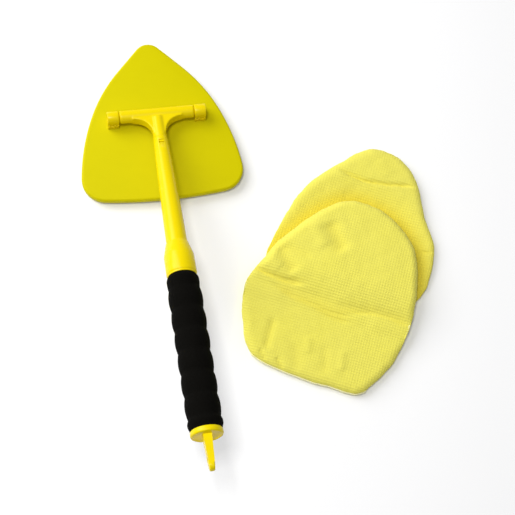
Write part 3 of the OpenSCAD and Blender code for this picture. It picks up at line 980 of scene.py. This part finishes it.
def makeFace(look):
    ring, outward, _ = evenOutline(look, 480)
    run, length = look["edgeRun"], edgeLength(look)
    step = bonnet["pitch"] / bonnet["samples"]
    turn = math.radians(bonnet["rowTurn"])
    rows = np.array([[math.cos(turn), math.sin(turn)], [-math.sin(turn), math.cos(turn)]])
    inRows = (ring - look["centre"]) @ rows.T
    reach = np.abs(inRows).max(0) + length
    count = np.ceil(reach / step).astype(int) * 2
    bm = bmesh.new()
    bmesh.ops.create_grid(bm, x_segments=int(count[0]), y_segments=int(count[1]), size=0.5)
    bm.verts.ensure_lookup_table()
    flat = np.array([v.co.xy for v in bm.verts]) * count * step
    p = flat @ rows + look["centre"]
    depth, direction = depthInside(p, ring, outward)
    keep = depth > run - length - 0.5 * step
    bmesh.ops.delete(bm, geom=[v for v, k in zip(bm.verts[:], keep) if not k], context="VERTS")
    joined = np.array([bool(v.link_faces) for v in bm.verts])
    kept = np.flatnonzero(keep)[joined]
    bmesh.ops.delete(bm, geom=[v for v in bm.verts if not v.link_faces], context="VERTS")
    border = np.array([v.is_boundary for v in bm.verts])
    flat, p, depth, direction = flat[kept], p[kept], depth[kept], direction[kept]
    # the border of the grid is drawn on to the seam, and nothing passes it
    past = run - depth
    wanted = np.where(border, length, np.minimum(past, length))
    p = p + direction * (wanted - past)[:, None]
    past = wanted
    cell = ((p - look["centre"]) @ rows.T) / bonnet["pitch"]
    roll = np.clip(past / length, 0, 1) * math.pi / 2
    place = p + direction * np.where(past > 0, run * np.sin(roll) - past, 0)[:, None]
    top = faceTop(place, look, depth)
    seam = drapeBase(place, look) + bonnet["seam"]
    z = top - (top - seam) * (1 - np.cos(roll))
    # raised lines of the waffle, across and along the rows
    phase = np.round((flat / step)).astype(int) % bonnet["samples"]
    relief = np.where(phase[:, 0] == 0, bonnet["columnRelief"], 0)
    relief = np.where(phase[:, 1] == 0, bonnet["rowRelief"], relief)
    relief = relief - bonnet["reliefDown"] + swellHeight(p, bonnet["pileSwells"])
    place = place + direction * (np.sin(roll) * relief)[:, None]
    z = z + np.cos(roll) * relief
    weave = bm.loops.layers.uv.new("weave")
    # the share of painted shade at each corner, which the cloth's colour reads
    sunk = bm.verts.layers.float.new("sunk")
    for v, at, height, uv, deep in zip(bm.verts, place, z, cell, paintedShadeShare(place, look)):
        v.co = (at[0] * mm, at[1] * mm, height * mm)
        v[sunk] = deep
        for loop in v.link_loops:
            loop[weave].uv = uv
    return bm


def finishCloth(name, bm, material, thickness, upwards=True):
    # an open sheet: its faces are turned up (or down), then it gets its thickness inwards
    bmesh.ops.recalc_face_normals(bm, faces=bm.faces)
    if (sum(f.normal.z for f in bm.faces) > 0) != upwards:
        bmesh.ops.reverse_faces(bm, faces=bm.faces)
    piece = makeObject(name, bm, material)
    addModifier(piece, "SOLIDIFY", thickness=thickness * mm, offset=-1)
    return settle(piece)


def ringGrid(around, across, place):
    # a grid wrapped round a closed line; place gives x, y, z in mm and the weave map for its two counts
    bm = bmesh.new()
    bmesh.ops.create_grid(bm, x_segments=around, y_segments=across, size=0.5)
    counts = np.array([v.co.xy for v in bm.verts]) + 0.5
    i, j = np.round(counts[:, 0] * around).astype(int), np.round(counts[:, 1] * across).astype(int)
    xyz, uv = place(i, j)
    weave = bm.loops.layers.uv.new("weave")
    for v, at, counted in zip(bm.verts, xyz, uv):
        v.co = Vector(at) * mm
        for loop in v.link_loops:
            loop[weave].uv = counted
    bmesh.ops.remove_doubles(bm, verts=bm.verts, dist=weld["seam"])
    return bm


skirt = {
    "around": 560, "across": 16, "width": 26.0, "cloth": 0.8, "low": 0.9,
    "rollShare": 0.3, "tuck": 3.6,  # the part that rolls in from the seam, and how far it gets
    "gathers": 76, "gatherHeight": 1.15, "gatherShape": 0.8, "mouthRise": 0.5,
    "wobble": 0.5, "wobblePhase": 5, "wobbleStep": 0.045, "wobbleSeed": (0.3, 2.2),
}


def makeSkirt(look):
    # the underside: rolls in from the seam, then runs to the gathered mouth in small pleats
    count, rolled = skirt["around"], skirt["rollShare"]
    ring, outward, length = evenOutline(look, count)
    inwardTo = towardsMiddle(ring, look)

    def place(i, j):
        u = j / skirt["across"]
        k = i % count
        bend = np.minimum(u / rolled, 1)
        rise = np.maximum(u - rolled, 0) / (1 - rolled)
        roll = np.sin(bend * math.pi / 2)
        inward = skirt["tuck"] * roll ** 2 + rise * (skirt["width"] - skirt["tuck"])
        mixed = -outward[k] * (1 - bend)[:, None] + inwardTo[k] * bend[:, None]
        mixed /= np.linalg.norm(mixed, axis=1)[:, None]
        p = ring[k] + mixed * inward[:, None]
        fall = bonnet["seam"] - (bonnet["seam"] - skirt["low"]) * roll
        wobble = np.array([noise.noise(Vector((float(a) * skirt["wobbleStep"], *skirt["wobbleSeed"])))
                           for a in k])
        phase = k / count * 2 * math.pi * skirt["gathers"] + skirt["wobblePhase"] * wobble
        pleat = skirt["gatherHeight"] * rise ** skirt["gatherShape"] * (0.5 + 0.5 * np.sin(phase))
        pleat = pleat * (0.75 + skirt["wobble"] * wobble)
        z = fall + rise * skirt["mouthRise"] + pleat + drapeBase(p, look)
        uv = np.stack([i / count * length / bonnet["pitch"], inward / bonnet["pitch"]], 1)
        return np.column_stack([p, z]), uv

    bm = ringGrid(count, skirt["across"], place)
    return finishCloth(look["name"] + "Skirt", bm, waffleYellow, skirt["cloth"], upwards=False)


def sewnTube(name, size, path, away, height, length, material):
    # a round or flattened tube along a closed path; away points out of the bonnet all round it
    count, section = size["around"], size["section"]

    def place(i, j):
        k = i % count
        a = (j % section) / section * 2 * math.pi
        p = path[k] + away[k] * (size["radius"] * np.cos(a))[:, None]
        z = height[k] + size["flat"] * size["radius"] * np.sin(a)
        return np.column_stack([p, z]), np.stack([i / count * length / size["stitch"], j / section], 1)

    return finishPiece(name, ringGrid(count, section, place), material, 180)


hem = {
    "radius": 0.70, "flat": 1.0, "around": 720, "section": 8, "height": 4.4, "stitch": 1.9,
    "out": 0.50, "tucked": -1.0, "fade": 12,  # where it shows, where it doesn't, degrees between
}


def makeHem(look):
    # the piped seam; hemShows gives the headings between which it stands out from under the face
    ring, outward, length = evenOutline(look, hem["around"])
    shown = np.zeros(len(ring))
    if "hemShows" in look:
        heading = np.degrees(np.arctan2(outward[:, 1], outward[:, 0])) % 360
        first, last = look["hemShows"]
        shown = (smoothStep(heading, first - hem["fade"], first)
                 * (1 - smoothStep(heading, last, last + hem["fade"])))
    out = hem["tucked"] + (hem["out"] - hem["tucked"]) * shown
    return sewnTube(look["name"] + "Hem", hem, ring + outward * out[:, None], outward,
                    drapeBase(ring, look) + hem["height"], length, hemTape)


elastic = {
    "radius": 1.15, "flat": 0.8, "around": 560, "section": 10, "height": 2.5, "stitch": 1.1,
    "inset": 27.3, "mouthShare": 0.7, "waves": 38, "wave": 0.35,
}


def makeElastic(look):
    count = elastic["around"]
    ring, _, length = evenOutline(look, count)
    inwardTo = towardsMiddle(ring, look)
    line = ring + inwardTo * elastic["inset"]
    swing = elastic["wave"] * np.sin(np.arange(count) / count * 2 * math.pi * elastic["waves"])
    return sewnTube(look["name"] + "Elastic", elastic, line, -inwardTo,
                    drapeBase(line, look) + elastic["height"] + swing, length * elastic["mouthShare"],
                    elasticBand)


for look in (lowerBonnet, upperBonnet):
    name, body = look["name"], look["body"]
    face = finishCloth(name + "Face", makeFace(look), waffleYellow, bonnet["cloth"])
    belongs(face, body, "waffle_cloth", body + "_face")
    underside = makeSkirt(look)
    belongs(underside, body, "waffle_cloth", body + "_skirt")
    piping = makeHem(look)
    belongs(piping, body, "hem_thread", body + "_hem")
    band = makeElastic(look)
    belongs(band, body, "elastic_cord", body + "_elastic")

for name in ("foamGrip", "gripCore", "endCap"):
    flagged.objects.link(bpy.data.objects[name])
for member in flagged.collection_objects:
    member.light_linking.link_state = "EXCLUDE"


table = {"size": 6.0, "below": 0.0001}  # metres; a hair under the pieces
bm = bmesh.new()
bmesh.ops.create_grid(bm, x_segments=1, y_segments=1, size=table["size"] / 2,
                      matrix=Matrix.Translation((0, 0, -table["below"])))
floor = finishPiece("floor", bm, paleTable)
